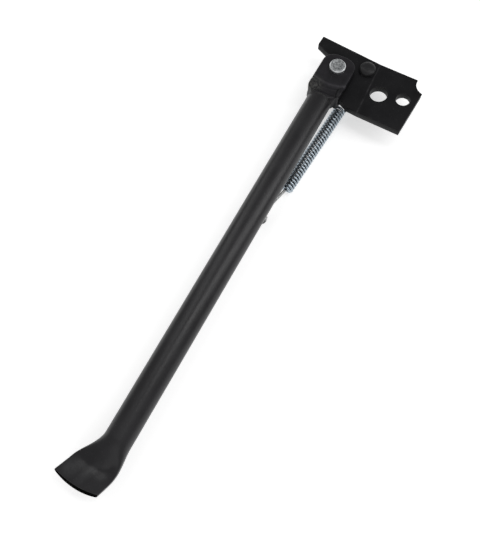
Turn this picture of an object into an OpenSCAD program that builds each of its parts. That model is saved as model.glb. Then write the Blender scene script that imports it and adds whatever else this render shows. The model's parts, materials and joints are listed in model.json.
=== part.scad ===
// Motorcycle side stand: a bracket plate that bolts to the frame, a tubular leg
// on a forged fork that folds about one pivot pin, and an over-centre spring.
// The stand lies flat as it is sold: the leg runs along -Y, the pivot axis is
// along Z, and the origin is the centre of the larger frame bolt hole.

/* [Bracket plate] */
// Thickness of the plate
plate_t = 6; // [4:0.5:8]
// Height of the plate across the pivot
plate_h = 46.2; // [40:0.5:56]
// Distance from the pivot to the far edge of the plate
plate_right = 64; // [60:0.5:80]
// Turn of the plate about the pivot, in degrees
plate_turn = -5.5; // [-9:0.5:0]
// Bend of the outer part of the plate, in degrees
flange_bend = 5.5; // [2:0.5:8]
// Radius of the clearance notch in the upper corner
notch_r = 9; // [5:0.5:11]
// Diameter of the larger frame bolt hole
bolt_hole_d = 13; // [9:0.5:16]
// Diameter of the smaller frame bolt hole
small_hole_d = 10.5; // [7:0.5:12]

/* [Fork] */
// Width of the fork across its cheeks
fork_w = 25.6; // [22:0.2:28]
// Thickness of one cheek
cheek_t = 5; // [4:0.5:7]
// Distance from the pivot to the rounded end of the fork
fork_nose = 12.4; // [10:0.2:14]
// Distance from the pivot to the floor of the slot
throat = 22.2; // [21:0.2:24]
// Distance from the pivot to the joint between fork and tube
fork_len = 27.5; // [27:0.5:36]
// Gap between the plate and each cheek
side_gap = 0.3; // [0.2:0.05:0.6]

/* [Leg tube and foot] */
// Distance from the pivot to the end of the foot
leg_len = 343.5; // [280:1:420]
// Outer diameter of the tube
tube_d = 19; // [17:0.5:22]
// Wall of the tube
tube_wall = 2.5; // [1.5:0.25:3.5]
// Lean of the tube away from the plate, in degrees
tube_lean = 2.7; // [0:0.1:4]
// Width of the flattened foot
foot_w = 30; // [25:0.5:34]
// Thickness of the flattened foot
foot_t = 7; // [5:0.5:9]
// Length of the flattened and flared end
foot_len = 37; // [30:1:50]
// Sideways sweep of the foot at its end
foot_sweep = 12; // [6:0.5:15]

/* [Pivot pin] */
// Diameter of the pin
pin_d = 8; // [6:0.5:10]
// Diameter of the pin's head
pin_head_d = 12; // [11:0.5:16]
// Height of the pin's head
pin_head_h = 2.8; // [2:0.2:5]
// Radial clearance of the pin in its bores
pin_fit = 0.05; // [0.02:0.01:0.1]
// Diameter of the split pin's wire
split_d = 2; // [1.5:0.1:2.4]

/* [Spring] */
// Wire diameter
wire_d = 2; // [1.6:0.1:2.2]
// Outer diameter of the coils
coil_d = 9.2; // [8.2:0.1:11]
// Distance between coils in the tensioned spring
coil_pitch = 2.64; // [2.5:0.02:3]
// Number of coils
coils = 29; // [26:1:30]
// Height of the spring's axis below the middle of the plate
spring_drop = 15.6; // [15.2:0.1:17]

/* [Spring anchors] */
// Diameter of the stud in the bracket
stud_d = 8; // [7:0.5:9]
// Diameter of the peg on the leg
peg_d = 7; // [6:0.5:8]
// Diameter of the domed stud head on the plate
stud_head_d = 12.6; // [10:0.2:14]
// Depth of the hook's groove
groove = 1; // [0.6:0.1:1.5]

/* [Hidden] */
$fn = 64;

black = "#1b1b1c";
zinc = "#a8adb0";

// Places on the plate, measured from the pivot in the plate's own directions
stud_at = [19.1, 13.3];
bolt_at = [36.6, -1.4];
small_at = [54.2, 2.7];
notch_at = [plate_right + 1, plate_h / 2 - 0.6];

// The same places in the stand's directions, still measured from the pivot
function turned(p, a) = [p.x * cos(a) - p.y * sin(a), p.x * sin(a) + p.y * cos(a)];
stud_xy = turned(stud_at, plate_turn);
bolt_xy = turned(bolt_at, plate_turn);
bend_x = 27.4;
bolt_z = (bolt_xy.x - bend_x) * tan(flange_bend);
pivot_at = [-bolt_xy.x, -bolt_xy.y, -bolt_z];

// Fork and stop
slot = plate_t + 2 * side_gap;
fork_t = slot + 2 * cheek_t;
stop_gap = 0.3;
lobe_r = 12.9;
corner_r = 10;
rim = 0.9;
neck_h = 6.2;
ridge_at = [-1, 8];
ridge_r = 24.6;

// Tube line: it starts at the fork's round end and leans by tube_lean
tube_r = tube_d / 2;
tube_top = [-0.55 - fork_len * tan(tube_lean), -fork_len];
tube_l = (leg_len - foot_len - fork_len) / cos(tube_lean);
seam = 0.02;

// Spring anchors, measured from the pivot
peg_xy = [-3.2, -124];
stud_hook_r = stud_d / 2 - groove + 0.3 + wire_d / 2;
peg_hook_r = peg_d / 2 - groove + 0.3 + wire_d / 2;
anchor_end = spring_drop + coil_d / 2 + 0.5;
stud_fit = 0.05;
collar_d = stud_d + 3;

module at_pivot() {
    translate(pivot_at) children();
}

// Turns a shape drawn along Z so that it runs down the leaning tube
module along_tube(distance = 0) {
    translate([tube_top.x, tube_top.y, 0])
        rotate([0, 0, -tube_lean])
            translate([0, -distance, 0]) rotate([90, 0, 0]) children();
}

// Outline of the flat plate: a rectangle turned about the pivot, with the stop
// tab at its upper left, a notch, and a stop nose over the floor of the slot
module plate_outline() {
    low_left = turned([21.4, -plate_h / 2], plate_turn);
    difference() {
        rotate(plate_turn) {
            difference() {
                translate([0, -plate_h / 2]) square([plate_right, plate_h]);
                translate(notch_at) circle(r = notch_r);
            }
            polygon([
                [0, plate_h / 2], [-23.9, plate_h / 2], [-23.9, 15.2],
                [-22.9, 14.4], [-21.6, 14.1], [-12, 10.6], [0, 8]
            ]);
        }
        polygon([
            [-60, -60], [low_left.x, -60], low_left, [fork_w / 2 + 0.2, -throat + stop_gap],
            [2.5, -throat + stop_gap], [-2.5, -lobe_r * 0.95], [-60, -lobe_r * 0.95]
        ]);
    }
    circle(r = lobe_r);
}

// Side profile of the plate with its outer part bent up
module plate_profile() {
    h = plate_t / 2;
    mitre = h * tan(flange_bend / 2);
    far = plate_right + 20;
    rise = (far - bend_x) * tan(flange_bend);
    up = h / cos(flange_bend);
    polygon([
        [-60, -h], [bend_x + mitre, -h], [far, rise - up],
        [far, rise + up], [bend_x - mitre, h], [-60, h]
    ]);
}

// Places a shape on the bent part of the plate, square to its surface
module on_flange(p) {
    q = turned(p, plate_turn);
    translate([q.x, q.y, (q.x - bend_x) * tan(flange_bend)]) rotate([0, -flange_bend, 0]) children();
}

module bracket_plate() {
    color(black) at_pivot() difference() {
        intersection() {
            rotate([90, 0, 0]) translate([0, 0, -80]) linear_extrude(160) plate_profile();
            translate([0, 0, -20]) linear_extrude(50) plate_outline();
        }
        cylinder(h = 40, r = pin_d / 2 + pin_fit, center = true);
        translate([stud_xy.x, stud_xy.y, 0]) cylinder(h = 40, r = stud_d / 2 + stud_fit, center = true);
        on_flange(bolt_at) cylinder(h = 40, d = bolt_hole_d, center = true);
        on_flange(small_at) cylinder(h = 40, d = small_hole_d, center = true);
    }
}

// Stud with a domed head above the plate, a collar below it and a hook groove
module spring_stud() {
    top = plate_t / 2 + seam;
    r = stud_d / 2;
    g = r - groove;
    head_r = stud_head_d / 2;
    color(black) at_pivot() translate([stud_xy.x, stud_xy.y, 0]) rotate_extrude() {
        polygon([
            [0, -anchor_end], [r + 1, -anchor_end], [r + 1, -spring_drop - 2.2], [r, -spring_drop - 1.5],
            [g, -spring_drop - 1], [g, -spring_drop + 1], [r, -spring_drop + 1.5],
            [r, -spring_drop + 2.6], [collar_d / 2, -spring_drop + 3.4], [collar_d / 2, -top],
            [r, -top], [r, top], [head_r, top], [head_r, top + 1.2],
            for (a = [20 : 14 : 90]) [head_r * cos(a), top + 1.1 + 3 * sin(a)]
        ]);
    }
}

// Round seat for the tube, a hair above its own length so that it can be blended
module fork_root(r, h) {
    along_tube(-h) cylinder(h = h, r = r, $fn = 48);
}

module fork() {
    color(black) at_pivot() difference() {
        union() {
            // Cheeks with a bevelled rim, each face falling to a neck behind a bowed ridge
            difference() {
                hull() {
                    translate([0, 0, -fork_t / 2 + rim]) linear_extrude(fork_t - 2 * rim) cheek_rounds(0);
                    translate([0, 0, -fork_t / 2]) linear_extrude(fork_t) cheek_rounds(rim);
                }
                for (s = [0, 1]) mirror([0, 0, s]) difference() {
                    translate([-30, -60, neck_h]) cube([60, 50, 10]);
                    translate([ridge_at.x, ridge_at.y, neck_h - 0.5])
                        cylinder(h = 11, r1 = ridge_r + 3.2, r2 = ridge_r - 12.2, $fn = 128);
                }
            }
            // Neck that swells to the round end of the tube
            hull() {
                translate([-10, -throat - 1.8, -neck_h]) cube([18.4, 1, 2 * neck_h]);
                fork_root(tube_r, 1.8);
            }
        }
        // Slot for the plate
        translate([-fork_w, -throat, -slot / 2]) cube([2 * fork_w, throat + fork_nose + 5, slot]);
        cylinder(h = 40, r = pin_d / 2 + pin_fit, center = true);
    }
}

// Rounds at the corners of the cheeks, drawn in by inset: two at the nose, which
// make it nearly a full arch, and one at each shoulder
module cheek_rounds(inset) {
    w = fork_w / 2;
    shoulder = -throat + 1.7;
    for (s = [-1, 1]) translate([s * (w - corner_r), fork_nose - corner_r]) circle(r = corner_r - inset, $fn = 48);
    translate([-w + 2.7, shoulder]) circle(r = 4 - inset, $fn = 32);
    translate([w - 4.5, shoulder]) circle(r = 3.5 - inset, $fn = 32);
}

// Weld bead round the joint between fork and tube
module fork_weld() {
    color(black) at_pivot() along_tube() rotate_extrude($fn = 96) {
        intersection() {
            translate([tube_r - 0.6, 0.3]) circle(r = 1.4, $fn = 32);
            translate([tube_r + seam, 0.02]) square([6, 8]);
        }
    }
}

// Superellipse corner sharpness falls from the round tube to the flat foot
function foot_ring(t, n = 40) =
    let(
        s = t * t * (3 - 2 * t),
        f = min(1, 1.6 * t),
        r = tube_r - 0.04,
        w = r + (foot_w / 2 - r) * f * f * (3 - 2 * f),
        h = r + (foot_t / 2 - r) * s,
        y = -t * (foot_len + 1) - 0.3,
        x = -foot_sweep * pow(t, 1.5),
        turn = -22 * t * t,
        dish = 1.5 * s
    )
    [for (i = [0 : n - 1])
        let(
            a = 360 * i / n,
            u = w * cos(a),
            v = h * sign(sin(a)) * pow(abs(sin(a)), 1 - 0.35 * s),
            d = v > 0 ? dish * (1 - pow(u / w, 2)) : 0
        )
        [x + u * cos(turn), y + u * sin(turn), v - d]
    ];

// Crushed and swept end of the tube, lofted from a circle to a dished flat
module foot_loft(rings = 18, n = 40) {
    // The first ring is repeated inside the tube, where the two are one piece
    root = [for (p = foot_ring(0, n)) [p.x, p.y + 2.3, p.z]];
    pts = concat(root, [for (k = [0 : rings]) each foot_ring(k / rings, n)]);
    sides = [for (k = [0 : rings], i = [0 : n - 1])
        let(a = k * n + i, b = k * n + (i + 1) % n)
        each [[b + n, b, a], [a + n, b + n, a]]
    ];
    first = [for (i = [0 : n - 1]) i];
    last = [for (i = [n - 1 : -1 : 0]) (rings + 1) * n + i];
    polyhedron(points = pts, faces = concat(sides, [first, last]));
}

module leg_tube() {
    bore = tube_r - tube_wall;
    arc_r = 27;
    end = [tube_top.x - (tube_l + foot_len) * sin(tube_lean) - foot_sweep, -leg_len];
    color(black) at_pivot() difference() {
        union() {
            along_tube() cylinder(h = tube_l, r = tube_r);
            translate([tube_top.x, tube_top.y, 0]) rotate([0, 0, -tube_lean])
                translate([0, -tube_l, 0]) foot_loft();
        }
        along_tube(6) cylinder(h = tube_l - 12, r = bore);
        // The end of the foot is cut to an arc
        difference() {
            translate([end.x, end.y - 10, 0]) cube([90, 40, 40], center = true);
            translate([end.x + 2.4, end.y + arc_r, 0]) cylinder(h = 50, r = arc_r, center = true);
        }
    }
}

module pivot_pin() {
    h = fork_t / 2 + seam;
    r = pin_d / 2;
    hr = pin_head_d / 2;
    tail = h + 4.6;
    color(zinc) at_pivot() difference() {
        rotate_extrude() polygon([
            [0, -tail], [r - 0.7, -tail], [r, -tail + 0.7], [r, h], [hr, h], [hr, h + pin_head_h - 0.8],
            [hr - 0.8, h + pin_head_h], [hr - 2.1, h + pin_head_h], [hr - 2.5, h + pin_head_h - 0.25],
            [0, h + pin_head_h - 0.25]
        ]);
        translate([0, 0, -h - 2.9]) rotate([0, 90, 0]) cylinder(h = 20, r = split_d / 2 + 0.1, center = true);
    }
}

module pivot_washer() {
    h = fork_t / 2 + 2 * seam;
    color(zinc) at_pivot() translate([0, 0, -h - 1.4]) difference() {
        cylinder(h = 1.4, r = pin_d);
        translate([0, 0, -1]) cylinder(h = 4, r = pin_d / 2 + 0.2);
    }
}

// Split pin across the leg, with an eye on one side and two ends bent apart
module split_pin() {
    z = -(fork_t / 2 + seam + 2.9);
    r = split_d / 2;
    reach = pin_d / 2 + 1.2;
    eye = split_d * 0.9;
    color(zinc) at_pivot() translate([0, 0, z]) rotate([0, 0, -90]) {
        translate([0, reach, 0]) rotate([90, 0, 0]) cylinder(h = 2 * reach, r = r, $fn = 32);
        translate([0, -reach - eye + 0.3, 0]) rotate_extrude($fn = 32) translate([eye, 0]) circle(r = r * 0.7, $fn = 24);
        for (s = [-1, 1]) translate([0, reach, 0]) rotate([90, 0, s * 115]) translate([0, 0, -0.2])
            cylinder(h = 3.4, r = r * 0.75, $fn = 32);
    }
}

// Peg that stands on the underside of the tube and holds the lower hook
module leg_peg() {
    r = peg_d / 2;
    g = r - groove;
    color(black) at_pivot() difference() {
        translate([peg_xy.x, peg_xy.y, 0]) rotate_extrude() polygon([
            [0, -anchor_end], [r + 0.8, -anchor_end], [r + 0.8, -spring_drop - 2.2], [r, -spring_drop - 1.5],
            [g, -spring_drop - 1], [g, -spring_drop + 1], [r, -spring_drop + 1.5], [r, -3], [0, -3]
        ]);
        along_tube(1) cylinder(h = tube_l - 2, r = tube_r + seam);
    }
}

// Weld bead round the root of the peg
module peg_weld() {
    color(black) at_pivot() difference() {
        translate([peg_xy.x, peg_xy.y, 0]) rotate_extrude() polygon([
            [peg_d / 2 + seam, -tube_r - 0.8], [peg_d / 2 + 0.7, -tube_r - 0.6],
            [peg_d / 2 + 1.6, -tube_r + 0.7], [peg_d / 2 + 1.6, -4], [peg_d / 2 + seam, -4]
        ]);
        along_tube(1) cylinder(h = tube_l - 2, r = tube_r + seam);
        translate([peg_xy.x + peg_d / 2 - 2, peg_xy.y - 20, -7]) cube([30, 40, 10]);
    }
}

// The spring is drawn in a plane of its own: the stud is at zero, the peg is at
// -spring_l along Y, and the coil body leans a little between its two side hooks
spring_l = norm(peg_xy - stud_xy);
spring_turn = atan2(peg_xy.y - stud_xy.y, peg_xy.x - stud_xy.x) + 90;
coil_r = (coil_d - wire_d) / 2;
coil_l = coils * coil_pitch;
coil_lean = 4.6;
coil_mid = [1.8, -spring_l / 2 - 0.7];
steps = 12;

// A point of the coil body, leaning about its middle
function on_body(p) = let(q = turned([p.x, p.y], coil_lean)) [q.x + coil_mid.x, q.y + coil_mid.y, p.z];

// Points round an anchor, for an open hook
function hook(c, r, from, sweep, n = 16) =
    [for (i = [0 : n]) let(a = from + sweep * i / n) [c.x + r * cos(a), c.y + r * sin(a), 0]];

// Upper hook, the wire that leaves it on one side, and the coils
coil_path = concat(
    hook([0, 0], stud_hook_r, 205, -250),
    [on_body([coil_r, coil_l / 2 + 4.4, 0]), on_body([coil_r, coil_l / 2 + 2.2, -0.1]),
        on_body([coil_r, coil_l / 2 + 0.9, -0.6])],
    [for (i = [0 : coils * steps])
        let(a = 360 * i / steps)
        on_body([coil_r * cos(a), coil_l * (0.5 - i / (coils * steps)), coil_r * sin(a)])]
);

// Straight shank up inside the coils, along the line of pull, and the lower hook
tail_x = on_body([0, -coil_l / 2 + 6, 0]).x;
tail_y = on_body([0, -coil_l / 2, 0]).y;
tail_path = concat(
    [[tail_x, tail_y + 15, 0], [tail_x, tail_y - 1.5, 0], [tail_x * 0.93, tail_y - 4, 0],
        [tail_x * 0.2, -spring_l + peg_hook_r + 5, 0], [-tail_x * 0.3, -spring_l + peg_hook_r + 1.4, 0]],
    hook([0, -spring_l], peg_hook_r, 135, 250)
);

function unit(v) = v / norm(v);
function slope(p, i) = unit(p[min(i + 1, len(p) - 1)] - p[max(i - 1, 0)]);
function square_to(n, t) = unit(n - (n * t) * t);

// Sweeps a round wire along a path, carrying the ring's direction from point to point
module sweep(path, r, n) {
    normals = [for (i = 0, v = square_to([0, 0, 1], slope(path, 0)); i < len(path);
        i = i + 1, v = square_to(v, slope(path, min(i, len(path) - 1)))) v];
    pts = [for (i = [0 : len(path) - 1])
        let(t = slope(path, i), u = normals[i], v = cross(t, u))
        each [for (k = [0 : n - 1]) path[i] + r * (cos(360 * k / n) * u + sin(360 * k / n) * v)]
    ];
    sides = [for (i = [0 : len(path) - 2], k = [0 : n - 1])
        let(a = i * n + k, b = i * n + (k + 1) % n)
        each [[a, a + n, b + n], [a, b + n, b]]
    ];
    last = (len(path) - 1) * n;
    polyhedron(points = pts, faces = concat(sides, [[for (k = [0 : n - 1]) k]], [[for (k = [n - 1 : -1 : 0]) last + k]]));
}

module in_spring_plane() {
    at_pivot() translate([stud_xy.x, stud_xy.y, -spring_drop]) rotate([0, 0, spring_turn]) children();
}

module spring() {
    color(zinc) in_spring_plane() sweep(coil_path, wire_d / 2, 6);
}

module spring_tail() {
    color(zinc) in_spring_plane() sweep(tail_path, wire_d / 2, 12);
}

bracket_plate();
spring_stud();
fork();
fork_weld();
leg_tube();
pivot_pin();
pivot_washer();
split_pin();
leg_peg();
peg_weld();
spring();
spring_tail();
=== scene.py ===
import json
import math

import bmesh
import bpy
from mathutils import Matrix, Vector


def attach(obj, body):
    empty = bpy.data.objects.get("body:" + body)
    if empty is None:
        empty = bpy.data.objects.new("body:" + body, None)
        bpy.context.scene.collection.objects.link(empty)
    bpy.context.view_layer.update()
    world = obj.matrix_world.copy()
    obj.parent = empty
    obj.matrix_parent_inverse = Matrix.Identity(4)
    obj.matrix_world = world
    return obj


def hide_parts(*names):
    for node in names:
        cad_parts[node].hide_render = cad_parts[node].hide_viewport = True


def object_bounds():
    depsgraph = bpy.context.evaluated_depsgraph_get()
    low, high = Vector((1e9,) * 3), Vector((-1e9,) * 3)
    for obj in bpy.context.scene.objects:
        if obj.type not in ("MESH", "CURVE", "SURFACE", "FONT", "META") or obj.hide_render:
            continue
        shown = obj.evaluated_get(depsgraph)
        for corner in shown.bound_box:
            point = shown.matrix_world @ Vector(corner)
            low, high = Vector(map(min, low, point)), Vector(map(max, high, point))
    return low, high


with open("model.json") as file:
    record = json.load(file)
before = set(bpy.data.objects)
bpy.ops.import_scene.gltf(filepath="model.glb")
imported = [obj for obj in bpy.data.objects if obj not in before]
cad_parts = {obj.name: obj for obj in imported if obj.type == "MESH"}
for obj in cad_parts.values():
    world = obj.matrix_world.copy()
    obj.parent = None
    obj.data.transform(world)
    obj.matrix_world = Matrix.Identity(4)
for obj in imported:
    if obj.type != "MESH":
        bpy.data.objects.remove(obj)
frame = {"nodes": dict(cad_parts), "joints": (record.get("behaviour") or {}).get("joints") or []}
cad_box = [list(corner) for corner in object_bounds()]

# Bracket plate: 6 mm steel plate, blanked and pierced in a press, its outer part set
# a few degrees. The press leaves softly rounded edges. Sprayed satin black; the
# coat is thin, so it shows a fine orange peel, dust, and rubs through on edges.
MM = 0.001
nodes = frame["nodes"]
pressed_edge = 0.5 * MM
bend_x = -8.897 * MM
# Colour of the painted highlight along the bend line
bend_highlight_paint = (0.035, 0.034, 0.036)
dust_colour, dust_share = (0.10, 0.10, 0.10), 0.35
rubbed_steel, rub_reach = (0.16, 0.155, 0.15), 0.7 * MM


def placed(name, data):
    thing = bpy.data.objects.new(name, data)
    bpy.context.scene.collection.objects.link(thing)
    return thing


def merged_copy(node, name):
    """A new piece with a CAD node's mesh, its loose triangles joined."""
    mesh = nodes[node].data.copy()
    mesh.name = name
    mesh.materials.clear()
    shape = bmesh.new()
    shape.from_mesh(mesh)
    bmesh.ops.remove_doubles(shape, verts=shape.verts, dist=0.002 * MM)
    shape.to_mesh(mesh)
    shape.free()
    return placed(name, mesh)


def baked(piece):
    """Takes the modifiers' result as a plain mesh and removes them."""
    bpy.context.view_layer.update()
    graph = bpy.context.evaluated_depsgraph_get()
    mesh = bpy.data.meshes.new_from_object(piece.evaluated_get(graph), depsgraph=graph)
    piece.modifiers.clear()
    old = piece.data
    piece.data = mesh
    bpy.data.meshes.remove(old)
    mesh.name = piece.name
    return piece


def smooth_shaded(piece, angle):
    """Smooth shading, but for edges where the faces turn by more than the angle in degrees."""
    piece.data.polygons.foreach_set("use_smooth", [True] * len(piece.data.polygons))
    piece.data.set_sharp_from_angle(angle=math.radians(angle))


def make_group(name, inputs, outputs):
    group = bpy.data.node_groups.new(name, "ShaderNodeTree")
    for label, value in inputs.items():
        socket = group.interface.new_socket(label, in_out="INPUT", socket_type="NodeSocketFloat")
        socket.default_value = value
    for label in outputs:
        group.interface.new_socket(label, in_out="OUTPUT", socket_type="NodeSocketFloat")
    return group, group.nodes.new("NodeGroupInput"), group.nodes.new("NodeGroupOutput")


def object_place(tree):
    return tree.nodes.new("ShaderNodeTexCoord").outputs["Object"]


def noise(tree, where, scale, detail=3.0, rough=0.55):
    node = tree.nodes.new("ShaderNodeTexNoise")
    node.inputs["Detail"].default_value = detail
    node.inputs["Roughness"].default_value = rough
    tree.links.new(where, node.inputs["Vector"])
    if isinstance(scale, float):
        node.inputs["Scale"].default_value = scale
    else:
        tree.links.new(scale, node.inputs["Scale"])
    return node.outputs["Fac"]


def ramp(tree, value, low, high, to_low=0.0, to_high=1.0):
    node = tree.nodes.new("ShaderNodeMapRange")
    node.inputs["From Min"].default_value = low
    node.inputs["From Max"].default_value = high
    node.inputs["To Min"].default_value = to_low
    node.inputs["To Max"].default_value = to_high
    tree.links.new(value, node.inputs["Value"])
    return node.outputs["Result"]


def reckon(tree, operation, first, second):
    node = tree.nodes.new("ShaderNodeMath")
    node.operation = operation
    for socket, value in zip(node.inputs, (first, second)):
        if isinstance(value, float):
            socket.default_value = value
        else:
            tree.links.new(value, socket)
    return node.outputs["Value"]


def apart(tree, value, mark):
    """How far a value lies from a mark, either way."""
    return reckon(tree, "ABSOLUTE", reckon(tree, "SUBTRACT", value, mark), 0.0)


def blend_colours(tree, share, first, second):
    node = tree.nodes.new("ShaderNodeMix")
    node.data_type = "RGBA"
    tree.links.new(share, node.inputs["Factor"])
    for label, colour in (("A", first), ("B", second)):
        if isinstance(colour, tuple):
            node.inputs[label].default_value = (*colour, 1)
        else:
            tree.links.new(colour, node.inputs[label])
    return node.outputs["Result"]


def paint_over(tree, share, colour):
    """Lays a colour over the one that the material has so far, as far as the share says."""
    base = tree.nodes["Principled BSDF"].inputs["Base Color"]
    tree.links.new(blend_colours(tree, share, base.links[0].from_socket, colour), base)


def bumped(tree, shader, height, strength, depth):
    bump = tree.nodes.new("ShaderNodeBump")
    bump.inputs["Strength"].default_value = strength
    bump.inputs["Distance"].default_value = depth
    tree.links.new(height, bump.inputs["Height"])
    tree.links.new(bump.outputs["Normal"], shader.inputs["Normal"])


# The sprayed coat: clouds where it lies thinner, dust specks, and its orange peel
coat_group, coat_in, coat_out = make_group(
    "sprayed_coat", {"Peel Scale": 900.0, "Cloud Scale": 40.0}, ("Clouds", "Dust", "Height")
)
where = object_place(coat_group)
clouds = noise(coat_group, where, coat_in.outputs["Cloud Scale"], detail=4.0)
specks = noise(coat_group, where, 1500.0, detail=1.0)
peel = noise(coat_group, where, coat_in.outputs["Peel Scale"], detail=2.0)
coat_group.links.new(clouds, coat_out.inputs["Clouds"])
coat_group.links.new(ramp(coat_group, specks, 0.68, 0.78), coat_out.inputs["Dust"])
coat_group.links.new(peel, coat_out.inputs["Height"])

# Rubbed edges: the mask is where the surface turns within the given reach, broken up
rub_group, rub_in, rub_out = make_group("rubbed_edges", {"Reach": 0.0006, "Patch Scale": 220.0}, ("Rub",))
bevel = rub_group.nodes.new("ShaderNodeBevel")
bevel.samples = 6
rub_group.links.new(rub_in.outputs["Reach"], bevel.inputs["Radius"])
surface = rub_group.nodes.new("ShaderNodeNewGeometry")
dot = rub_group.nodes.new("ShaderNodeVectorMath")
dot.operation = "DOT_PRODUCT"
rub_group.links.new(bevel.outputs["Normal"], dot.inputs[0])
rub_group.links.new(surface.outputs["Normal"], dot.inputs[1])
turn = ramp(rub_group, dot.outputs["Value"], 0.995, 0.90)
patches = noise(rub_group, object_place(rub_group), rub_in.outputs["Patch Scale"], detail=5.0, rough=0.7)
rub = reckon(rub_group, "MULTIPLY", turn, ramp(rub_group, patches, 0.47, 0.62))
rub_group.links.new(rub, rub_out.inputs["Rub"])


def principled(name):
    material = bpy.data.materials.new(name)
    material.use_nodes = True
    return material, material.node_tree, material.node_tree.nodes["Principled BSDF"]


def black_paint(name, dark, light, rough, peel_scale, peel_depth, cloud_scale, rub, specular=0.34):
    """Black paint in two shades, with dust, rubbed edges and an orange peel of the given depth."""
    material, tree, shader = principled(name)
    coat = tree.nodes.new("ShaderNodeGroup")
    coat.node_tree = coat_group
    coat.inputs["Peel Scale"].default_value = peel_scale
    coat.inputs["Cloud Scale"].default_value = cloud_scale
    edge = tree.nodes.new("ShaderNodeGroup")
    edge.node_tree = rub_group
    edge.inputs["Reach"].default_value = rub_reach
    worn = reckon(tree, "MULTIPLY", edge.outputs["Rub"], rub)
    dust = reckon(tree, "MULTIPLY", coat.outputs["Dust"], dust_share)
    tint = blend_colours(tree, ramp(tree, coat.outputs["Clouds"], 0.35, 0.65), dark, light)
    dusty = blend_colours(tree, dust, tint, dust_colour)
    tree.links.new(blend_colours(tree, worn, dusty, rubbed_steel), shader.inputs["Base Color"])
    coat_rough = ramp(tree, coat.outputs["Clouds"], 0.3, 0.7, rough[0], rough[1])
    worn_rough = reckon(tree, "MULTIPLY", worn, 0.2)
    tree.links.new(reckon(tree, "ADD", coat_rough, worn_rough), shader.inputs["Roughness"])
    shader.inputs["Specular IOR Level"].default_value = specular
    bumped(tree, shader, coat.outputs["Height"], strength=0.3, depth=peel_depth)
    return material


plate_paint = black_paint(
    "plate_paint", dark=(0.004, 0.004, 0.0048), light=(0.008, 0.008, 0.009), rough=(0.40, 0.52),
    peel_scale=1100.0, peel_depth=0.10 * MM, cloud_scale=60.0, rub=0.5, specular=0.14,
)
# A painted highlight: the colour is a little lighter along the line where the plate is bent, broken up in
# a crazed pattern
tree = plate_paint.node_tree
where = object_place(tree)
parts = tree.nodes.new("ShaderNodeSeparateXYZ")
tree.links.new(where, parts.inputs["Vector"])
bend_line = ramp(tree, apart(tree, parts.outputs["X"], bend_x), 0.2 * MM, 0.8 * MM, 1.0, 0.0)
highlight_breaks = ramp(tree, noise(tree, where, 300.0, detail=4.0, rough=0.7), 0.38, 0.6, 0.0, 0.8)
paint_over(tree, reckon(tree, "MULTIPLY", bend_line, highlight_breaks), bend_highlight_paint)

plate = merged_copy("bracket_plate", "pressed_plate")
shape = bmesh.new()
shape.from_mesh(plate.data)
bmesh.ops.dissolve_limit(
    shape, angle_limit=math.radians(0.5), verts=shape.verts, edges=shape.edges,
    use_dissolve_boundaries=False,
)
shape.to_mesh(plate.data)
shape.free()
edges = plate.modifiers.new("pressed edges", "BEVEL")
edges.width = pressed_edge
edges.segments = 3
edges.limit_method = "ANGLE"
edges.angle_limit = math.radians(25)
edges.use_clamp_overlap = True
baked(plate)
smooth_shaded(plate, 40)
plate.data.materials.append(plate_paint)
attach(plate, "bracket")
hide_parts("bracket_plate")


# Spring stud: a turned steel stud with a domed head, riveted through the plate and
# painted with it.
def dress(node, material):
    """Gives a CAD node, which stays as it is, its material."""
    mesh = nodes[node].data
    mesh.materials.clear()
    mesh.materials.append(material)


stud_paint = black_paint(
    "stud_paint", dark=(0.008, 0.008, 0.009), light=(0.016, 0.016, 0.017), rough=(0.34, 0.46),
    peel_scale=1000.0, peel_depth=0.08 * MM, cloud_scale=90.0, rub=0.4, specular=0.25,
)
dress("spring_stud", stud_paint)

# Fork: a forging whose two cheeks take the plate between them. The hammer leaves
# every edge round and the faces a little uneven; the paint lies over that.
joint_at = {joint["name"]: Vector(joint["pos_m"]) for joint in frame["joints"]}
pivot = joint_at["leg_fold"]
upward = Vector((0, 0, 1))
voxel = 0.42 * MM
# In millimetres from the pivot. The nose above nose_from is drawn in to a share of its
# length. Below lumps_below, two lumps rise from the neck's face, which is at neck_h: a
# point doesn't move at lump_from, and moves all the way past lump_full
nose_from, nose_share = 6.0, 0.83
lumps_below = -13.0
neck_h, lump_from, lump_full = 6.2, 4.2, 6.0
# Each lump's middle, half widths and height: the left shoulder, and a strip at the right
neck_lumps = ((-10.6, -19.4, 4.4, 6.0, 3.0), (10.3, -18.5, 2.8, 6.8, 2.4))
# Painted highlights on the fork: glint specks round a spot on the left lump, and a band along the ridge
spatter_glints_at = pivot + Vector((-10.0, -19.5, 6.0)) * MM
spatter_glint_paint = (0.045, 0.045, 0.042)
ridge_middle = pivot + Vector((-1.0, 8.0, 0.0)) * MM
ridge_r = 24.3 * MM
ridge_highlight_paint = (0.032, 0.030, 0.035)

fork = merged_copy("fork", "forged_fork")
remesh = fork.modifiers.new("voxels", "REMESH")
remesh.mode = "VOXEL"
remesh.voxel_size = voxel


def hammered(piece, name, rounds):
    """Adds a smoothing modifier that rounds off the edges."""
    smooth = piece.modifiers.new(name, "SMOOTH")
    smooth.factor = 0.5
    smooth.iterations = rounds


def domed(x, y, middle_x, middle_y, half_x, half_y):
    """Height at a point of an oval dome that is 1 at its middle, and 0 outside it."""
    inside = 1 - ((x - middle_x) / half_x) ** 2 - ((y - middle_y) / half_y) ** 2
    return math.sqrt(inside) if inside > 0 else 0.0


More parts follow.
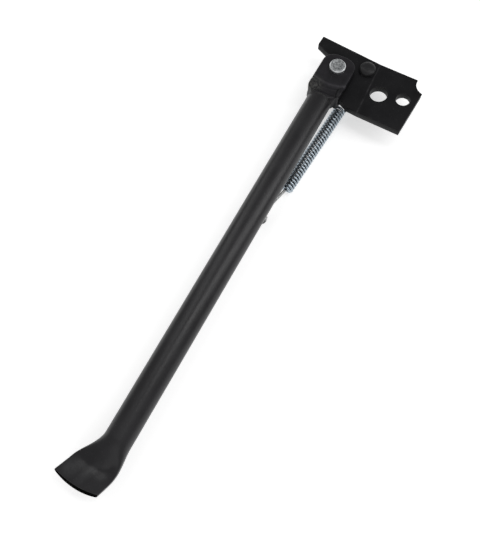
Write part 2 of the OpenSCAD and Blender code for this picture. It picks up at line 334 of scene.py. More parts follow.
hammered(fork, "hammered edges", 5)
baked(fork)
for vertex in fork.data.vertices:
    p = (vertex.co - pivot) / MM
    if p.y > nose_from:
        vertex.co.y = pivot.y + (nose_from + (p.y - nose_from) * nose_share) * MM
    if abs(p.z) < lump_from or p.y > lumps_below:
        continue
    top = max(neck_h + rise * domed(p.x, p.y, *oval) for *oval, rise in neck_lumps)
    if top > neck_h and abs(p.z) < top:
        share = min(1.0, (abs(p.z) - lump_from) / (lump_full - lump_from))
        raised = abs(p.z) + (top - abs(p.z)) * share
        vertex.co.z = pivot.z + math.copysign(raised, p.z) * MM
hammered(fork, "settle", 3)
baked(fork)
smooth_shaded(fork, 80)


def distance_from(tree, where, point):
    gap = tree.nodes.new("ShaderNodeVectorMath")
    gap.operation = "DISTANCE"
    gap.inputs[1].default_value = point
    tree.links.new(where, gap.inputs[0])
    return gap.outputs["Value"]


def off_axis(tree, where, point, along):
    """The distance of a shaded place from the line through a point along a unit vector."""
    arm = tree.nodes.new("ShaderNodeVectorMath")
    arm.operation = "SUBTRACT"
    arm.inputs[1].default_value = point
    turned = tree.nodes.new("ShaderNodeVectorMath")
    turned.operation = "CROSS_PRODUCT"
    turned.inputs[1].default_value = along
    length = tree.nodes.new("ShaderNodeVectorMath")
    length.operation = "LENGTH"
    tree.links.new(where, arm.inputs[0])
    tree.links.new(arm.outputs["Vector"], turned.inputs[0])
    tree.links.new(turned.outputs["Vector"], length.inputs[0])
    return length.outputs["Value"]


fork_paint = black_paint(
    "fork_paint", dark=(0.007, 0.0065, 0.008), light=(0.014, 0.013, 0.016), rough=(0.36, 0.5),
    peel_scale=700.0, peel_depth=0.22 * MM, cloud_scale=120.0, rub=0.35, specular=0.22,
)
# Painted highlights: the colour is lighter along the curved ridge where the cheek steps down to the neck,
# and in lighter specks on the left lump that stand in for the glints of weld spatter
tree = fork_paint.node_tree
where = object_place(tree)
from_ridge = apart(tree, off_axis(tree, where, ridge_middle, upward), ridge_r)
ridge_line = ramp(tree, from_ridge, 0.3 * MM, 1.7 * MM, 1.0, 0.0)
ridge_highlight_breaks = ramp(tree, noise(tree, where, 260.0, detail=4.0, rough=0.6), 0.35, 0.6, 0.35, 1.0)
paint_over(tree, reckon(tree, "MULTIPLY", ridge_line, ridge_highlight_breaks), ridge_highlight_paint)
near_lump = ramp(tree, distance_from(tree, where, spatter_glints_at), 4.5 * MM, 8.5 * MM, 1.0, 0.0)
spatter_glints = ramp(tree, noise(tree, where, 600.0, detail=4.0, rough=0.7), 0.42, 0.58, 0.1, 1.0)
paint_over(tree, reckon(tree, "MULTIPLY", near_lump, spatter_glints), spatter_glint_paint)
fork.data.materials.append(fork_paint)
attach(fork, "leg")
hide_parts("fork")

# Weld bead round the tube's end: one run of overlapping ripples, flat and uneven,
# painted over. The tree sweeps a bead along a closed guide line.
tube_r = 9.5
tube_lean = math.radians(2.7)
tube_off = -0.55
fork_len = 27.5
down_tube = Vector((-math.sin(tube_lean), -math.cos(tube_lean), 0))
across_tube = Vector((math.cos(tube_lean), -math.sin(tube_lean), 0))
tube_top = pivot + Vector((tube_off - fork_len * math.tan(tube_lean), -fork_len, 0)) * MM
seam_start, seam_wave, seam_sink = 0.1, 0.5, 0.85
least_girth = 0.78
lump_scale = 260.0
# Two painted highlights on the bead: their places, size and colour
glint_spots = ((4.3, -26.6, 8.2), (-7.7, -27.2, 5.6))
glint_r, glint_edge = 0.6 * MM, 1.3 * MM
weld_glint_colour = (0.30, 0.29, 0.28)


def on_tube(along, angle, radius):
    """A point by the tube: millimetres down it, degrees round it from its right side, radius."""
    turned = math.radians(angle)
    side = across_tube * math.cos(turned) + upward * math.sin(turned)
    return tube_top + (down_tube * along + side * radius) * MM


def guide(name, points, closed):
    mesh = bpy.data.meshes.new(name)
    links = [(i, i + 1) for i in range(len(points) - 1)]
    if closed:
        links.append((len(points) - 1, 0))
    mesh.from_pydata([tuple(p) for p in points], links, [])
    return placed(name, mesh)


def geometry_tree(name, inputs):
    tree = bpy.data.node_groups.new(name, "GeometryNodeTree")
    tree.interface.new_socket("Geometry", in_out="INPUT", socket_type="NodeSocketGeometry")
    for label, kind, value in inputs:
        socket = tree.interface.new_socket(label, in_out="INPUT", socket_type=kind)
        if value is not None:
            socket.default_value = value
    tree.interface.new_socket("Geometry", in_out="OUTPUT", socket_type="NodeSocketGeometry")
    return tree, tree.nodes.new("NodeGroupInput"), tree.nodes.new("NodeGroupOutput")


def link_up(tree, *pairs):
    for source, target in pairs:
        tree.links.new(source, target)


def finish_tree(tree, swept, start, end):
    """Ends a tree: smooth shading, real geometry and the material."""
    smooth = tree.nodes.new("GeometryNodeSetShadeSmooth")
    solid = tree.nodes.new("GeometryNodeRealizeInstances")
    paint = tree.nodes.new("GeometryNodeSetMaterial")
    link_up(
        tree,
        (swept, smooth.inputs["Geometry"]),
        (smooth.outputs["Geometry"], solid.inputs["Geometry"]),
        (solid.outputs["Geometry"], paint.inputs["Geometry"]),
        (start.outputs["Material"], paint.inputs["Material"]),
        (paint.outputs["Geometry"], end.inputs["Geometry"]),
    )


def grow(line, tree, values):
    """Runs a geometry tree on a guide line with the given inputs and keeps the mesh."""
    grown = line.modifiers.new(tree.name, "NODES")
    grown.node_group = tree
    for socket in tree.interface.items_tree:
        if socket.in_out == "INPUT" and socket.name in values:
            grown[socket.identifier] = values[socket.name]
    return baked(line)


bead_tree, start, end = geometry_tree("weld_bead", [
    ("Steps", "NodeSocketInt", 300),
    ("Bead Radius", "NodeSocketFloat", 0.001),
    ("Ripples", "NodeSocketFloat", 30.0),
    ("Ripple Depth", "NodeSocketFloat", 0.12),
    ("Unevenness", "NodeSocketFloat", 0.3),
    ("Seed", "NodeSocketFloat", 3.0),
    ("Material", "NodeSocketMaterial", None),
])
line = bead_tree.nodes.new("GeometryNodeMeshToCurve")
even = bead_tree.nodes.new("GeometryNodeResampleCurve")
along = bead_tree.nodes.new("GeometryNodeSplineParameter")
phase = reckon(bead_tree, "MULTIPLY", along.outputs["Factor"], start.outputs["Ripples"])
saw = bead_tree.nodes.new("ShaderNodeMath")
saw.operation = "FRACT"
ripple = reckon(bead_tree, "MULTIPLY", saw.outputs["Value"], start.outputs["Ripple Depth"])
spot = bead_tree.nodes.new("GeometryNodeInputPosition")
lumps = bead_tree.nodes.new("ShaderNodeTexNoise")
lumps.noise_dimensions = "4D"
lumps.inputs["Scale"].default_value = lump_scale
uneven = reckon(bead_tree, "MULTIPLY", lumps.outputs["Fac"], start.outputs["Unevenness"])
girth = reckon(bead_tree, "ADD", reckon(bead_tree, "ADD", ripple, uneven), least_girth)
thickened = bead_tree.nodes.new("GeometryNodeSetCurveRadius")
ring = bead_tree.nodes.new("GeometryNodeCurvePrimitiveCircle")
ring.inputs["Resolution"].default_value = 12
sweep = bead_tree.nodes.new("GeometryNodeCurveToMesh")
link_up(
    bead_tree,
    (phase, saw.inputs[0]),
    (spot.outputs["Position"], lumps.inputs["Vector"]),
    (start.outputs["Seed"], lumps.inputs["W"]),
    (start.outputs["Geometry"], line.inputs["Mesh"]),
    (line.outputs["Curve"], even.inputs["Curve"]),
    (start.outputs["Steps"], even.inputs["Count"]),
    (even.outputs["Curve"], thickened.inputs["Curve"]),
    (girth, thickened.inputs["Radius"]),
    (start.outputs["Bead Radius"], ring.inputs["Radius"]),
    (thickened.outputs["Curve"], sweep.inputs["Curve"]),
    (ring.outputs["Curve"], sweep.inputs["Profile Curve"]),
)
finish_tree(bead_tree, sweep.outputs["Mesh"], start, end)

weld_paint = black_paint(
    "weld_paint", dark=(0.010, 0.010, 0.011), light=(0.03, 0.03, 0.03), rough=(0.32, 0.5),
    peel_scale=1600.0, peel_depth=0.16 * MM, cloud_scale=400.0, rub=0.5, specular=0.2,
)
# Two high spots of the bead are painted bright, painted highlights for its glints
tree = weld_paint.node_tree
where = object_place(tree)
for glint_spot in glint_spots:
    from_glint = distance_from(tree, where, pivot + Vector(glint_spot) * MM)
    paint_over(tree, ramp(tree, from_glint, glint_r, glint_edge, 1.0, 0.0), weld_glint_colour)
seam = []
for angle in range(0, 360, 3):
    wave = seam_start + seam_wave * math.sin(math.radians(3 * angle))
    seam.append(on_tube(wave, angle, tube_r - seam_sink))
fork_bead = grow(guide("fork_bead", seam, True), bead_tree, {
    "Steps": 360, "Bead Radius": 1.1 * MM, "Ripples": 22.0, "Ripple Depth": 0.35, "Unevenness": 1.1,
    "Seed": 5.0, "Material": weld_paint,
})
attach(fork_bead, "leg")
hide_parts("fork_weld")

# Leg tube and foot: one length of steel tube, its end crushed flat, flared and swept
# in a press, and cut to an arc on a slant. Sprayed satin black with the rest of the leg.
leg_len = 343.5
foot_len = 37.0
foot_w = 30.0
foot_t = 7.0
foot_sweep = 10.5
foot_turn = math.radians(-22)
# How soon along the foot the tube is flat and flared, and how far its section squares up
crush_rate, flare_rate, squareness = 1.7, 1.6, 0.65
tube_l = (leg_len - foot_len - fork_len) / math.cos(tube_lean)
tube_start = 0.03
end_arc_r = 52.0
end_arc_x, end_arc_y = -7.5, foot_len + 0.2
cut_slant = 0.35
around = 64
tube_rings = 36
foot_rings = 52
# The last ring before the broken edge, as a share of the way to the cut
wall_share = 0.985
# How far each ring of the broken edge stands back, in millimetres, and its height as a share
broken_edge = ((0.3, 0.99), (0.1, 0.96), (0.0, 0.92))
# The upper face is dished, and its left wing falls away
dish, wing_fall, wing_from = 0.5, 0.011, -2.0
# Three pockets of the press and the ridge between them: middle, half widths, slant, depth
press_marks = (
    (-10.4, 21.0, 3.8, 3.8, 0.0, 0.7),
    (-0.8, 21.0, 3.6, 3.6, 0.0, 0.7),
    (4.8, 18.5, 3.2, 5.5, -0.3, 1.2),
    (-6.0, 28.0, 2.4, 6.5, -0.5, -0.5),
)
# Painted highlights on the foot: their colour, slant and size
foot_highlight_paint = (0.036, 0.036, 0.038)
highlight_turn = math.radians(-24)
highlight_r = 6.0 * MM
beside_pivot = pivot + Vector((tube_off, 0, 0)) * MM
# Each painted highlight's place from the point beside the pivot, its narrowing and its strength
foot_highlights = (
    ((-33.0, -334.0, 3.0), (1.0, 1.0, 1.0), 1.0),
    ((-21.5, -333.5, 3.0), (1.9, 0.75, 1.0), 0.8),
)

tube_paint = black_paint(
    "tube_paint", dark=(0.010, 0.0095, 0.011), light=(0.016, 0.0155, 0.0175), rough=(0.29, 0.40),
    peel_scale=800.0, peel_depth=0.12 * MM, cloud_scale=35.0, rub=0.35,
)
# Painted highlights: the left wing of the foot and a streak beside the pockets are painted lighter
tree = tube_paint.node_tree
where = object_place(tree)
highlighted = 0.0
for place, narrowing, strength in foot_highlights:
    centred = tree.nodes.new("ShaderNodeMapping")
    centred.vector_type = "TEXTURE"
    centred.inputs["Location"].default_value = beside_pivot + Vector(place) * MM
    centred.inputs["Rotation"].default_value = (0, 0, highlight_turn)
    centred.inputs["Scale"].default_value = [highlight_r / n for n in narrowing]
    span = tree.nodes.new("ShaderNodeVectorMath")
    span.operation = "LENGTH"
    tree.links.new(where, centred.inputs["Vector"])
    tree.links.new(centred.outputs["Vector"], span.inputs[0])
    highlight_mask = ramp(tree, span.outputs["Value"], 0.3, 1.3, strength, 0.0)
    highlighted = reckon(tree, "MAXIMUM", highlighted, highlight_mask)
foot_highlight_breaks = ramp(tree, noise(tree, where, 300.0, detail=4.0, rough=0.6), 0.3, 0.65, 0.5, 1.0)
paint_over(tree, reckon(tree, "MULTIPLY", highlighted, foot_highlight_breaks), foot_highlight_paint)
# Painted shade: the sawn end face gets a darker, matt copy of the paint
shaded_end_paint = black_paint(
    "shaded_end_paint", dark=(0.003, 0.003, 0.003), light=(0.007, 0.0068, 0.0065), rough=(0.6, 0.75),
    peel_scale=900.0, peel_depth=0.25 * MM, cloud_scale=150.0, rub=0.1, specular=0.0,
)


def eased_step(t):
    t = min(max(t, 0.0), 1.0)
    return t * t * (3 - 2 * t)


def dent(x, y, middle_x, middle_y, half_x, half_y, slant):
    """Depth at a point of a soft slanting hollow that is 1 at its middle."""
    dx = (x - middle_x - slant * (y - middle_y)) / half_x
    dy = (y - middle_y) / half_y
    return math.exp(-(dx * dx + dy * dy))


def foot_point(t, angle):
    """Place on the crushed end at t of its length: across, along and up, in millimetres."""
    crushed = eased_step(crush_rate * t)
    half_w = tube_r + (foot_w / 2 - tube_r) * eased_step(flare_rate * t)
    half_h = tube_r + (foot_t / 2 - tube_r) * crushed
    c, s = math.cos(angle), math.sin(angle)
    u = half_w * c
    z = half_h * math.copysign(abs(s) ** (1 - squareness * crushed), s)
    turn = foot_turn * t * t
    x = -foot_sweep * t ** 1.5 + u * math.cos(turn)
    y = t * (foot_len + 1) - u * math.sin(turn)
    if z > 0:
        press = dish * crushed * (1 - (u / half_w) ** 2)
        press += wing_fall * crushed * max(0.0, wing_from - u) ** 2
        press += sum(depth * dent(x, y, *mark) for *mark, depth in press_marks)
        z -= press * abs(s) ** 0.5
    return Vector((x, y, z))


def reaches_arc(angle):
    """Share of the length at which the line at this angle meets the arc cut at the end."""
    low, high = 0.6, 1.25
    for _ in range(30):
        t = (low + high) / 2
        p = foot_point(t, angle)
        arc_y = end_arc_y - (p.x - end_arc_x) ** 2 / (2 * end_arc_r)
        if p.y < arc_y - cut_slant * p.z:
            low = t
        else:
            high = t
    return low


def from_tube(p):
    return tube_top + (down_tube * (tube_l + p.y) + across_tube * p.x + upward * p.z) * MM


angles = [2 * math.pi * i / around for i in range(around)]
reach = [reaches_arc(a) for a in angles]
rings = []
for k in range(tube_rings):
    along = tube_start + (tube_l - tube_start) * k / tube_rings
    rings.append([on_tube(along, math.degrees(a), tube_r) for a in angles])
for k in range(foot_rings + 1):
    share = k / foot_rings * wall_share
    rings.append([from_tube(foot_point(r * share, a)) for r, a in zip(reach, angles)])
for back, flat in broken_edge:
    ring = []
    for r, a in zip(reach, angles):
        p = foot_point(r, a)
        middle_z = (p.z + foot_point(r, -a).z) / 2
        ring.append(from_tube(Vector((p.x, p.y - back, middle_z + (p.z - middle_z) * flat))))
    rings.append(ring)
leg_faces = []
for k in range(len(rings) - 1):
    for i in range(around):
        a = k * around + i
        b = k * around + (i + 1) % around
        leg_faces.append((a, a + around, b + around, b))
leg_faces.append(tuple(range(around)))
# The cut end is closed by strips across it, from the upper face's points to the lower's
cut_from = len(leg_faces)
last_ring = (len(rings) - 1) * around
for i in range(around // 2):
    strip = (i, (around - i) % around, around - i - 1, i + 1)
    leg_faces.append(tuple(last_ring + n for n in dict.fromkeys(strip)))
leg_mesh = bpy.data.meshes.new("leg_tube_and_foot")
leg_mesh.from_pydata([tuple(p) for ring in rings for p in ring], [], leg_faces)
shape = bmesh.new()
shape.from_mesh(leg_mesh)
bmesh.ops.recalc_face_normals(shape, faces=shape.faces)
shape.to_mesh(leg_mesh)
shape.free()
leg = placed("leg_tube_and_foot", leg_mesh)
smooth_shaded(leg, 50)
leg_mesh.materials.append(tube_paint)
leg_mesh.materials.append(shaded_end_paint)
# The strips across the cut end take the darker copy of the paint, which is painted shade
for face in leg_mesh.polygons:
    if face.index >= cut_from:
        face.material_index = 1
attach(leg, "leg")
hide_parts("leg_tube")

# Pivot pin: a shouldered steel pin with a flat chamfered head, zinc plated, with its
# washer and split pin behind. The plating is dull and speckled, and the chamfer's rim is
# painted bright, a painted highlight.
punch_ring_r = 3.1 * MM
rim_from, rim_full = 5.2 * MM, 5.7 * MM
punched_zinc = (0.10, 0.105, 0.11)
rim_highlight_zinc = (0.86, 0.88, 0.89)

speck_group, speck_in, speck_out = make_group(
    "speckled_zinc", {"Grain Scale": 1800.0, "Stain Scale": 260.0}, ("Grain", "Stain")
)
where = object_place(speck_group)
grain = noise(speck_group, where, speck_in.outputs["Grain Scale"], detail=3.0, rough=0.7)
stain = noise(speck_group, where, speck_in.outputs["Stain Scale"], detail=4.0)
speck_group.links.new(ramp(speck_group, grain, 0.35, 0.65), speck_out.inputs["Grain"])
speck_group.links.new(ramp(speck_group, stain, 0.35, 0.65), speck_out.inputs["Stain"])


def zinc_plate(name, dark, light, rough, grain_scale, stain_scale, depth):
    """Zinc plating in two shades, light and smooth on the grains and dark and rough between."""
    material, tree, shader = principled(name)
    plating = tree.nodes.new("ShaderNodeGroup")
    plating.node_tree = speck_group
    plating.inputs["Grain Scale"].default_value = grain_scale
    plating.inputs["Stain Scale"].default_value = stain_scale
    grains = plating.outputs["Grain"]
    grain_share = reckon(tree, "MULTIPLY", grains, 0.6)
    stain_share = reckon(tree, "MULTIPLY", plating.outputs["Stain"], 0.4)
    share = reckon(tree, "ADD", grain_share, stain_share)
    tree.links.new(blend_colours(tree, share, dark, light), shader.inputs["Base Color"])
    tree.links.new(ramp(tree, grains, 0.0, 1.0, rough[1], rough[0]), shader.inputs["Roughness"])
    shader.inputs["Metallic"].default_value = 1.0
    bumped(tree, shader, grains, strength=0.35, depth=depth)
    return material


pin_zinc = zinc_plate(
    "pin_zinc", dark=(0.03, 0.035, 0.04), light=(0.74, 0.76, 0.77), rough=(0.30, 0.5),
    grain_scale=850.0, stain_scale=700.0, depth=0.12 * MM,
)
# A faint darker ring is left on the head by the punch
tree = pin_zinc.node_tree
from_pin = off_axis(tree, object_place(tree), pivot, upward)
from_punch_ring = apart(tree, from_pin, punch_ring_r)
paint_over(tree, ramp(tree, from_punch_ring, 0.1 * MM, 0.6 * MM, 0.5, 0.0), punched_zinc)
# Painted highlight: the head's rim is painted bright
paint_over(tree, ramp(tree, from_pin, rim_from, rim_full, 0.0, 0.9), rim_highlight_zinc)
for name in ("pivot_pin", "pivot_washer", "split_pin"):
    dress(name, pin_zinc)

# Peg on the underside of the tube: a turned peg with a hook groove, welded on by a
# small bead that follows the saddle where peg and tube meet.
peg = joint_at["tail_swing"]
peg_r = 3.5
peg_seam_out, peg_seam_below = 0.5, 0.1
least_drop_squared = 20.0

dress("leg_peg", stud_paint)
saddle = []
for angle in range(0, 360, 4):
    turned = math.radians(angle)
    spot = peg + Vector((math.cos(turned), math.sin(turned), 0)) * (peg_r + peg_seam_out) * MM
    off = (spot - tube_top).dot(across_tube) / MM
    drop = math.sqrt(max(tube_r ** 2 - off ** 2, least_drop_squared))
    saddle.append(Vector((spot.x, spot.y, pivot.z - (drop + peg_seam_below) * MM)))
peg_bead = grow(guide("peg_bead", saddle, True), bead_tree, {
    "Steps": 200, "Bead Radius": 0.8 * MM, "Ripples": 16.0, "Ripple Depth": 0.2, "Unevenness": 0.3,
    "Seed": 8.0, "Material": weld_paint,
})
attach(peg_bead, "leg")
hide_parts("peg_weld")

# Spring: 2 mm hard-drawn wire wound to a 9.5 mm coil, its turns drawn a little apart
# by its pull, and zinc plated. A side hook goes round the stud; the tail comes out of
# the drawn-in last turn and hooks round the peg. The tree winds the coil.
stud = joint_at["spring_swing"]
wire_d = 2.0
coil_r = 3.75
coil_mouth_r = 2.9
mouth_climb = 0.8
coil_pitch = 2.64
coil_turns = 30
coil_l = 29 * coil_pitch
coil_top = coil_l / 2 + coil_pitch
coil_lean = math.radians(3.6)
stud_hook_r = 4.3
peg_hook_r = 3.8
hook_top = Vector((stud.x, stud.y, peg.z))
pull = (peg - hook_top) / MM
spring_l = pull.length
spring_turn = math.atan2(pull.y, pull.x) + math.radians(90)
coil_mid = (0.3, -spring_l / 2 - 0.7)
# Painted shade inside the coil: its colour, and the distances from the axis over which it fades
coil_shade_zinc = (0.012, 0.022, 0.028)
shade_from, shade_to = 4.5 * MM, 3.9 * MM


def in_spring(x, y, z=0.0):
    """A point by the line of pull: millimetres across it, up it from the stud, and above it."""
    c, s = math.cos(spring_turn), math.sin(spring_turn)
    return hook_top + Vector((x * c - y * s, x * s + y * c, z)) * MM


def on_coil(x, y, z=0.0):
    """A point by the coil's own axis, which leans, in millimetres from the coil's middle."""
    c, s = math.cos(coil_lean), math.sin(coil_lean)
    return in_spring(x * c - y * s + coil_mid[0], x * s + y * c + coil_mid[1], z)


def hook(y, radius, first, sweep_angle, count=28):
    """Points round an anchor from the first angle, in degrees."""
    points = []
    for i in range(count + 1):
        a = math.radians(first + sweep_angle * i / count)
        points.append(in_spring(radius * math.cos(a), y + radius * math.sin(a)))
    return points


def eased(points, rounds=2):
    """Rounds the corners of a line by cutting them, its ends kept."""
    for _ in range(rounds):
        cut = [points[0]]
        for a, b in zip(points, points[1:]):
            cut += [a.lerp(b, 0.25), a.lerp(b, 0.75)]
        points = cut + [points[-1]]
    return points


wire_tree, start, end = geometry_tree("wound_wire", [
    ("Wire Diameter", "NodeSocketFloat", 0.002),
    ("Coil Radius", "NodeSocketFloat", 0.0036),
    ("Pitch", "NodeSocketFloat", 0.00264),
    ("Turns", "NodeSocketFloat", 29.0),
    ("Last Radius", "NodeSocketFloat", 0.0029),
    ("Coil Start", "NodeSocketVector", None),
    ("Coil Turn", "NodeSocketVector", None),
    ("Material", "NodeSocketMaterial", None),
])
path = wire_tree.nodes.new("GeometryNodeMeshToCurve")
body = wire_tree.nodes.new("GeometryNodeCurveSpiral")
body.inputs["Resolution"].default_value = 22
height = reckon(wire_tree, "MULTIPLY", start.outputs["Pitch"], start.outputs["Turns"])
mouth = wire_tree.nodes.new("GeometryNodeCurveSpiral")
mouth.inputs["Resolution"].default_value = 26
mouth.inputs["Rotations"].default_value = 1.0
lower = wire_tree.nodes.new("ShaderNodeCombineXYZ")
shift = wire_tree.nodes.new("GeometryNodeTransform")
coil = wire_tree.nodes.new("GeometryNodeJoinGeometry")
stand = wire_tree.nodes.new("GeometryNodeTransform")
both = wire_tree.nodes.new("GeometryNodeJoinGeometry")
ring = wire_tree.nodes.new("GeometryNodeCurvePrimitiveCircle")
ring.inputs["Resolution"].default_value = 12
sweep = wire_tree.nodes.new("GeometryNodeCurveToMesh")
sweep.inputs["Fill Caps"].default_value = True
link_up(
    wire_tree,
    (start.outputs["Geometry"], path.inputs["Mesh"]),
    (start.outputs["Turns"], body.inputs["Rotations"]),
    (start.outputs["Coil Radius"], body.inputs["Start Radius"]),
    (start.outputs["Coil Radius"], body.inputs["End Radius"]),
    (height, body.inputs["Height"]),
    (start.outputs["Coil Radius"], mouth.inputs["Start Radius"]),
    (start.outputs["Last Radius"], mouth.inputs["End Radius"]),
    (reckon(wire_tree, "MULTIPLY", start.outputs["Pitch"], mouth_climb), mouth.inputs["Height"]),
    (height, lower.inputs["Z"]),
    (lower.outputs["Vector"], shift.inputs["Translation"]),
    (mouth.outputs["Curve"], shift.inputs["Geometry"]),
    (body.outputs["Curve"], coil.inputs["Geometry"]),
    (shift.outputs["Geometry"], coil.inputs["Geometry"]),
    (coil.outputs["Geometry"], stand.inputs["Geometry"]),
    (start.outputs["Coil Start"], stand.inputs["Translation"]),
    (start.outputs["Coil Turn"], stand.inputs["Rotation"]),
    (stand.outputs["Geometry"], both.inputs["Geometry"]),
    (path.outputs["Curve"], both.inputs["Geometry"]),
    (reckon(wire_tree, "MULTIPLY", start.outputs["Wire Diameter"], 0.5), ring.inputs["Radius"]),
    (both.outputs["Geometry"], sweep.inputs["Curve"]),
    (ring.outputs["Curve"], sweep.inputs["Profile Curve"]),
)
finish_tree(wire_tree, sweep.outputs["Mesh"], start, end)

spring_plating = {"rough": (0.22, 0.34), "grain_scale": 2600.0, "stain_scale": 500.0, "depth": 0.03 * MM}
spring_zinc = zinc_plate("spring_zinc", (0.14, 0.14, 0.14), (0.40, 0.40, 0.40), **spring_plating)
coil_zinc = zinc_plate("coil_zinc", (0.26, 0.32, 0.37), (0.56, 0.62, 0.67), **spring_plating)
# The coil's inside, which shows between the turns, is painted dark: painted shade. The wire
# past its ends is not
tree = coil_zinc.node_tree
shader = tree.nodes["Principled BSDF"]
plated = shader.inputs["Base Color"].links[0].from_socket
where = object_place(tree)
coil_axis = (on_coil(0, 1) - on_coil(0, 0)).normalized()
outward = ramp(tree, off_axis(tree, where, on_coil(0, 0), coil_axis), shade_to, shade_from)
from_middle = distance_from(tree, where, on_coil(0, 0))
past_coil = ramp(tree, from_middle, (coil_l / 2 - 1) * MM, (coil_l / 2 + 0.5) * MM)
unshaded = reckon(tree, "MAXIMUM", outward, past_coil)
tree.links.new(blend_colours(tree, unshaded, coil_shade_zinc, plated), shader.inputs["Base Color"])

lead_in = [on_coil(coil_r, coil_top + 3.6, 0.0), on_coil(coil_r, coil_top + 1.8, -0.3)]
for angle in (-32, -20, -8, 0):
    turned = math.radians(angle)
    rise = coil_top - coil_pitch * angle / 360
    lead_in.append(on_coil(coil_r * math.cos(turned), rise, coil_r * math.sin(turned)))
upper_hook = hook(0, stud_hook_r, 205, -250)
c, s = math.cos(spring_turn + coil_lean), math.sin(spring_turn + coil_lean)
stance = Matrix(((c, 0, s), (s, 0, -c), (0, 1, 0)))
coil_path = upper_hook[:-1] + eased([upper_hook[-1]] + lead_in)
coil_wire = grow(guide("coil_spring", coil_path, False), wire_tree, {
    "Wire Diameter": wire_d * MM, "Coil Radius": coil_r * MM, "Pitch": coil_pitch * MM,
    "Turns": float(coil_turns), "Last Radius": coil_mouth_r * MM, "Coil Start": on_coil(0, coil_top),
    "Coil Turn": Vector(stance.to_euler("XYZ")), "Material": coil_zinc,
})
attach(coil_wire, "spring")
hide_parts("spring")

# Spring tail: the end of the same wire, on the line from the coil's mouth to the peg.
# It reaches up inside the coil, so that it can draw out as the spring stretches. The
# tree sweeps the wire along its path.
tail_tree, start, end = geometry_tree("drawn_wire", [
    ("Wire Diameter", "NodeSocketFloat", 0.002),
    ("Material", "NodeSocketMaterial", None),
])
path = tail_tree.nodes.new("GeometryNodeMeshToCurve")
ring = tail_tree.nodes.new("GeometryNodeCurvePrimitiveCircle")
ring.inputs["Resolution"].default_value = 16
sweep = tail_tree.nodes.new("GeometryNodeCurveToMesh")
sweep.inputs["Fill Caps"].default_value = True
link_up(
    tail_tree,
    (start.outputs["Geometry"], path.inputs["Mesh"]),
    (path.outputs["Curve"], sweep.inputs["Curve"]),
    (reckon(tail_tree, "MULTIPLY", start.outputs["Wire Diameter"], 0.5), ring.inputs["Radius"]),
    (ring.outputs["Curve"], sweep.inputs["Profile Curve"]),
)
finish_tree(tail_tree, sweep.outputs["Mesh"], start, end)

# The coil's mouth, and the shank's offsets from it and from the top of the lower hook:
# across the line of pull as a share of mouth_x, and along it in millimetres
mouth_x = (coil_l / 2 - 6) * math.sin(coil_lean) + coil_mid[0]
mouth_y = -coil_l / 2 * math.cos(coil_lean) + coil_mid[1]
peg_hook_top = -spring_l + peg_hook_r
by_mouth = ((1.0, 15.0), (1.0, -1.5), (0.93, -4.0))
by_lower_hook = ((0.2, 5.0), (-0.3, 1.4))
shank = [in_spring(mouth_x * share, mouth_y + rise) for share, rise in by_mouth]
shank += [in_spring(mouth_x * share, peg_hook_top + rise) for share, rise in by_lower_hook]
lower_hook = hook(-spring_l, peg_hook_r, 135, 250)
tail_path = eased(shank + [lower_hook[0]]) + lower_hook[1:]
tail = grow(guide("spring_tail_wire", tail_path, False), tail_tree, {
    "Wire Diameter": wire_d * MM, "Material": spring_zinc,
})
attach(tail, "spring_tail")
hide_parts("spring_tail")

# Camera: the photograph looks down on the stand as it lies flat, from the foot's
# side and a little round to the plate's side, with a slightly long lens.
camera_azimuth = math.radians(26)
camera_elevation = math.radians(70)
camera_distance = 475.4 * MM
camera_target = pivot + Vector((2.67, -170.6, 0)) * MM
sensor_mm = 36
focal_px = 700
photo_long_side_px = 533
camera_data = bpy.data.cameras.new("camera")
camera_data.sensor_width = sensor_mm
camera_data.lens = sensor_mm * focal_px / photo_long_side_px
camera_data.clip_start = 0.01
camera_data.dof.use_dof = False
camera = placed("camera", camera_data)
away = Vector((
    math.sin(camera_azimuth) * math.cos(camera_elevation),
    -math.cos(camera_azimuth) * math.cos(camera_elevation),
    math.sin(camera_elevation),
))
camera.location = camera_target + away * camera_distance
camera.rotation_mode = "QUATERNION"
camera.rotation_quaternion = (-away).to_track_quat("-Z", "Y")
bpy.context.scene.camera = camera

# Floor: a plain white sheet under the stand. It glows for the camera and in
# reflections only, so that it is white there and keeps the stand's soft shadows. From
# below it is clear, so the underside can be looked at.
floor_z = cad_box[0][2]
floor_reach = 3.0
floor_corners = ((-1, -1), (1, -1), (1, 1), (-1, 1))
paper_colour = (0.82, 0.82, 0.82, 1)
paper_glow = 0.52
plain_white = (1, 1, 1, 1)
floor_mesh = bpy.data.meshes.new("floor")
floor_mesh.from_pydata(
    [(x * floor_reach, y * floor_reach, floor_z) for x, y in floor_corners], [], [(0, 1, 2, 3)]
)
floor = placed("floor", floor_mesh)
paper = bpy.data.materials.new("paper")
paper.use_nodes = True
tree = paper.node_tree
tree.nodes.clear()
out = tree.nodes.new("ShaderNodeOutputMaterial")
diffuse = tree.nodes.new("ShaderNodeBsdfDiffuse")
diffuse.inputs["Color"].default_value = paper_colour
glow = tree.nodes.new("ShaderNodeEmission")
glow.inputs["Color"].default_value = plain_white
glow.inputs["Strength"].default_value = paper_glow
rays = tree.nodes.new("ShaderNodeLightPath")
seen = reckon(tree, "MAXIMUM", rays.outputs["Is Camera Ray"], rays.outputs["Is Glossy Ray"])
lit = tree.nodes.new("ShaderNodeAddShader")
upper_side = tree.nodes.new("ShaderNodeMixShader")
side_seen = tree.nodes.new("ShaderNodeNewGeometry")
clear_sheet = tree.nodes.new("ShaderNodeBsdfTransparent")
either_side = tree.nodes.new("ShaderNodeMixShader")
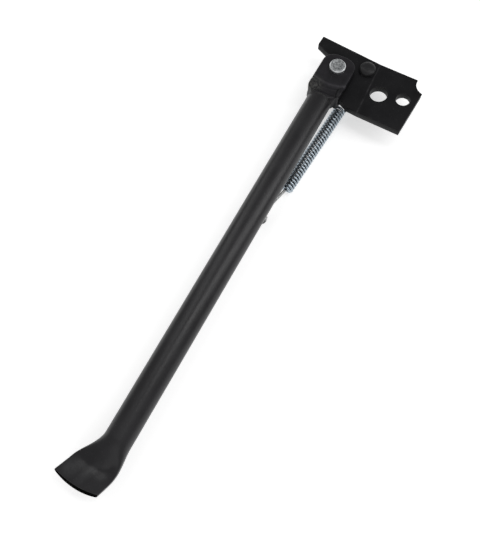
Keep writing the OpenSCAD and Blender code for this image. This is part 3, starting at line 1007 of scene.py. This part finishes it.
link_up(
    tree,
    (diffuse.outputs[0], lit.inputs[0]),
    (glow.outputs[0], lit.inputs[1]),
    (seen, upper_side.inputs[0]),
    (diffuse.outputs[0], upper_side.inputs[1]),
    (lit.outputs[0], upper_side.inputs[2]),
    (side_seen.outputs["Backfacing"], either_side.inputs[0]),
    (upper_side.outputs[0], either_side.inputs[1]),
    (clear_sheet.outputs[0], either_side.inputs[2]),
    (either_side.outputs[0], out.inputs[0]),
)
floor_mesh.materials.append(paper)

# World: an even white room, which lights the stand at a plain level and is plain
# white where the camera sees it.
room_strength = 0.42
world = bpy.data.worlds.new("room")
world.use_nodes = True
bpy.context.scene.world = world
tree = world.node_tree
tree.nodes.clear()
out = tree.nodes.new("ShaderNodeOutputWorld")
room = tree.nodes.new("ShaderNodeBackground")
room.inputs["Color"].default_value = plain_white
room.inputs["Strength"].default_value = room_strength
white = tree.nodes.new("ShaderNodeBackground")
white.inputs["Color"].default_value = plain_white
white.inputs["Strength"].default_value = 1.0
rays = tree.nodes.new("ShaderNodeLightPath")
mix = tree.nodes.new("ShaderNodeMixShader")
link_up(
    tree,
    (rays.outputs["Is Camera Ray"], mix.inputs[0]),
    (room.outputs[0], mix.inputs[1]),
    (white.outputs[0], mix.inputs[2]),
    (mix.outputs[0], out.inputs[0]),
)


# Lamps: a long soft strip on each side of the leg draws the two stripes along the
# tube, and a broad box beyond the foot fills in.
def soft_box(name, place, aim, size, power):
    data = bpy.data.lights.new(name, "AREA")
    data.shape = "RECTANGLE"
    data.size, data.size_y = size
    data.energy = power
    lamp = placed(name, data)
    lamp.location = Vector(place)
    lamp.rotation_mode = "QUATERNION"
    lamp.rotation_quaternion = (Vector(aim) - Vector(place)).to_track_quat("-Z", "Y")


leg_middle = (-0.04, -0.15, 0)
soft_box("strip_left", (-0.60, 0.16, 0.83), leg_middle, size=(0.24, 1.3), power=1.9)
soft_box("strip_right", (0.55, 0.16, 0.81), leg_middle, size=(0.22, 1.3), power=3.9)
soft_box("box_foot", (0.30, -1.10, 0.80), leg_middle, size=(1.0, 0.8), power=1.5)

bpy.context.scene.view_settings.view_transform = "Standard"
